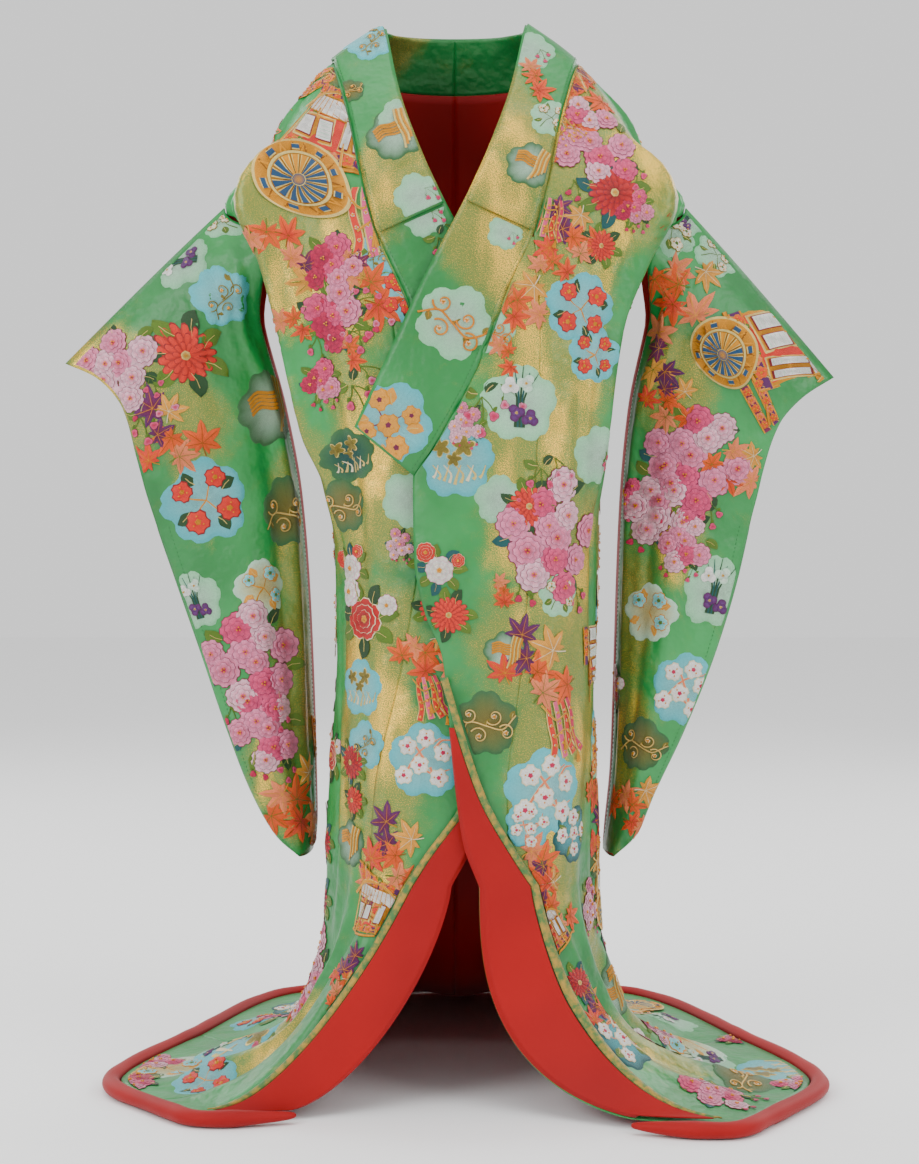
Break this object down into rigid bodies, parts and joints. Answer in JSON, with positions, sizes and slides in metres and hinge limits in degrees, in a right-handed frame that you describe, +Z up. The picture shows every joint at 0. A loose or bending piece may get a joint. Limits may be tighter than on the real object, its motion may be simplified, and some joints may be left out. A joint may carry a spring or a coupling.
{
  "type": "uchikake wedding kimono",
  "caption": "Floor-length padded over-kimono worn open, with long hanging sleeves, a turned-back red lining and a spread train; hollow, in its worn form.",
  "frame": {"origin": "the neck, where the wearer holds the garment up, level with the collar's back edge", "axes": "+Z up, the front faces -Y, the garment's own left side is at +X"},
  "size_m": [1, 0.8844, 1.3707],
  "materials": {
    "brocade": "satin",
    "brocade_sleeve": "satin",
    "brocade_collar": "satin",
    "lining_red": "matt",
    "gold_edge": "satin"
  },
  "bodies": {
    "root": {"back_left": "brocade", "back_right": "brocade", "front_left": "brocade", "front_right": "brocade", "overlap_left": "brocade", "overlap_right": "brocade", "collar_left": "brocade_collar", "collar_right": "brocade_collar", "over_collar_left": "brocade_collar", "over_collar_right": "brocade_collar", "sleeve_left": "brocade_sleeve", "sleeve_right": "brocade_sleeve", "lining_left": "lining_red", "lining_right": "lining_red", "piping_left": "gold_edge", "piping_right": "gold_edge", "hem_roll_left": "lining_red", "hem_roll_right": "lining_red"}
  },
  "joints": []
}
